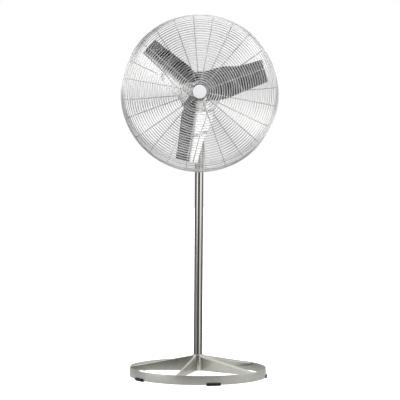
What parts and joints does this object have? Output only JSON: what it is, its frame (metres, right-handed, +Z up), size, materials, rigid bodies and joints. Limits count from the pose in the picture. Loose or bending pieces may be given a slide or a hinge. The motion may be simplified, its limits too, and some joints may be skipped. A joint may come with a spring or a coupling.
{
  "type": "pedestal fan",
  "caption": "Tall industrial pedestal fan: round wire guard over wide polished blades, tilting motor head on a tube pole, welded band base with radial arms and rubber pads.",
  "frame": {"origin": "on the floor, at the middle of the base below the pole's axis", "axes": "+Z up along the pole; the fan blows along -Y; +X to the right of someone who faces the fan"},
  "size_m": [0.8598, 0.7654, 1.9989],
  "materials": {
    "satin_steel": "satin stainless sheet and tube, lightly brushed",
    "polished_steel": "polished stainless",
    "guard_wire": "electropolished steel wire",
    "blade_metal": "polished sheet metal, slightly hazy",
    "rubber": "matt black rubber",
    "black_plastic": "black moulded plastic",
    "motor_paint": "semi-gloss grey paint",
    "lamination": "dark steel laminations",
    "badge": "plain white enamelled disc with a thin dark rim"
  },
  "bodies": {
    "base": {"base_ring": "satin_steel", "base_socket": "satin_steel", "base_arm_1": "satin_steel", "base_arm_2": "satin_steel", "base_arm_3": "satin_steel", "base_arm_4": "satin_steel", "base_arm_5": "satin_steel", "rubber_pad_1": "rubber", "rubber_pad_2": "rubber", "rubber_pad_3": "rubber", "rubber_pad_4": "rubber", "rubber_pad_5": "rubber", "pole_tube": "polished_steel", "pole_lock_bolt": "polished_steel"},
    "swivel": {"swivel_fitting": "satin_steel"},
    "swivel_knob": {"swivel_lock_knob": "black_plastic"},
    "head": {"motor_cradle": "satin_steel", "tilt_bolt": "polished_steel", "tilt_washer_left": "polished_steel", "tilt_washer_right": "polished_steel", "motor_housing": "motor_paint", "motor_front_bell": "motor_paint", "motor_rear_bell": "motor_paint", "motor_stator": "lamination", "bearing_front": "polished_steel", "bearing_rear": "polished_steel", "tie_bolt_1": "polished_steel", "tie_bolt_2": "polished_steel", "tie_bolt_3": "polished_steel", "tie_bolt_4": "polished_steel", "switch_box": "motor_paint", "switch_box_lid": "motor_paint", "run_capacitor": "black_plastic", "speed_switch": "black_plastic", "cable_gland": "black_plastic", "guard_plate": "satin_steel", "guard_screw_1": "polished_steel", "guard_screw_2": "polished_steel", "guard_screw_3": "polished_steel", "guard_screw_4": "polished_steel", "guard_clip_1": "satin_steel", "guard_clip_2": "satin_steel", "guard_clip_3": "satin_steel", "guard_clip_4": "satin_steel", "rear_guard": "guard_wire", "front_guard": "guard_wire", "badge_disc": "badge", "badge_backing": "satin_steel"},
    "tilt_clamp": {"tilt_knob": "black_plastic"},
    "speed_dial": {"speed_knob": "black_plastic"},
    "propeller": {"motor_shaft": "polished_steel", "motor_rotor": "lamination", "propeller_hub": "satin_steel", "hub_set_screw": "polished_steel", "blade_spider": "satin_steel", "blade_1": "blade_metal", "blade_2": "blade_metal", "blade_3": "blade_metal"}
  },
  "joints": [
    {"name": "head_swivel", "type": "hinge", "parent": "base", "child": "swivel", "pos_m": [0, 0, 1.335], "axis": [0, 0, 1], "range_deg": [-180, 180]},
    {"name": "head_tilt", "type": "hinge", "parent": "swivel", "child": "head", "pos_m": [0, 0, 1.44], "axis": [1, 0, 0], "range_deg": [-45, 15]},
    {"name": "propeller_spin", "type": "hinge", "parent": "head", "child": "propeller", "pos_m": [0, -0.2, 1.569], "axis": [0, 1, 0], "continuous": true},
    {"name": "swivel_lock_turn", "type": "hinge", "parent": "swivel", "child": "swivel_knob", "pos_m": [0, 0.032, 1.362], "axis": [0, 1, 0], "range_deg": [0, 360]},
    {"name": "tilt_lock_turn", "type": "hinge", "parent": "head", "child": "tilt_clamp", "pos_m": [0.03, 0, 1.44], "axis": [1, 0, 0], "range_deg": [0, 360]},
    {"name": "speed_turn", "type": "hinge", "parent": "head", "child": "speed_dial", "pos_m": [0.019, 0.05, 1.675], "axis": [0, 1, 0], "range_deg": [0, 270]}
  ]
}
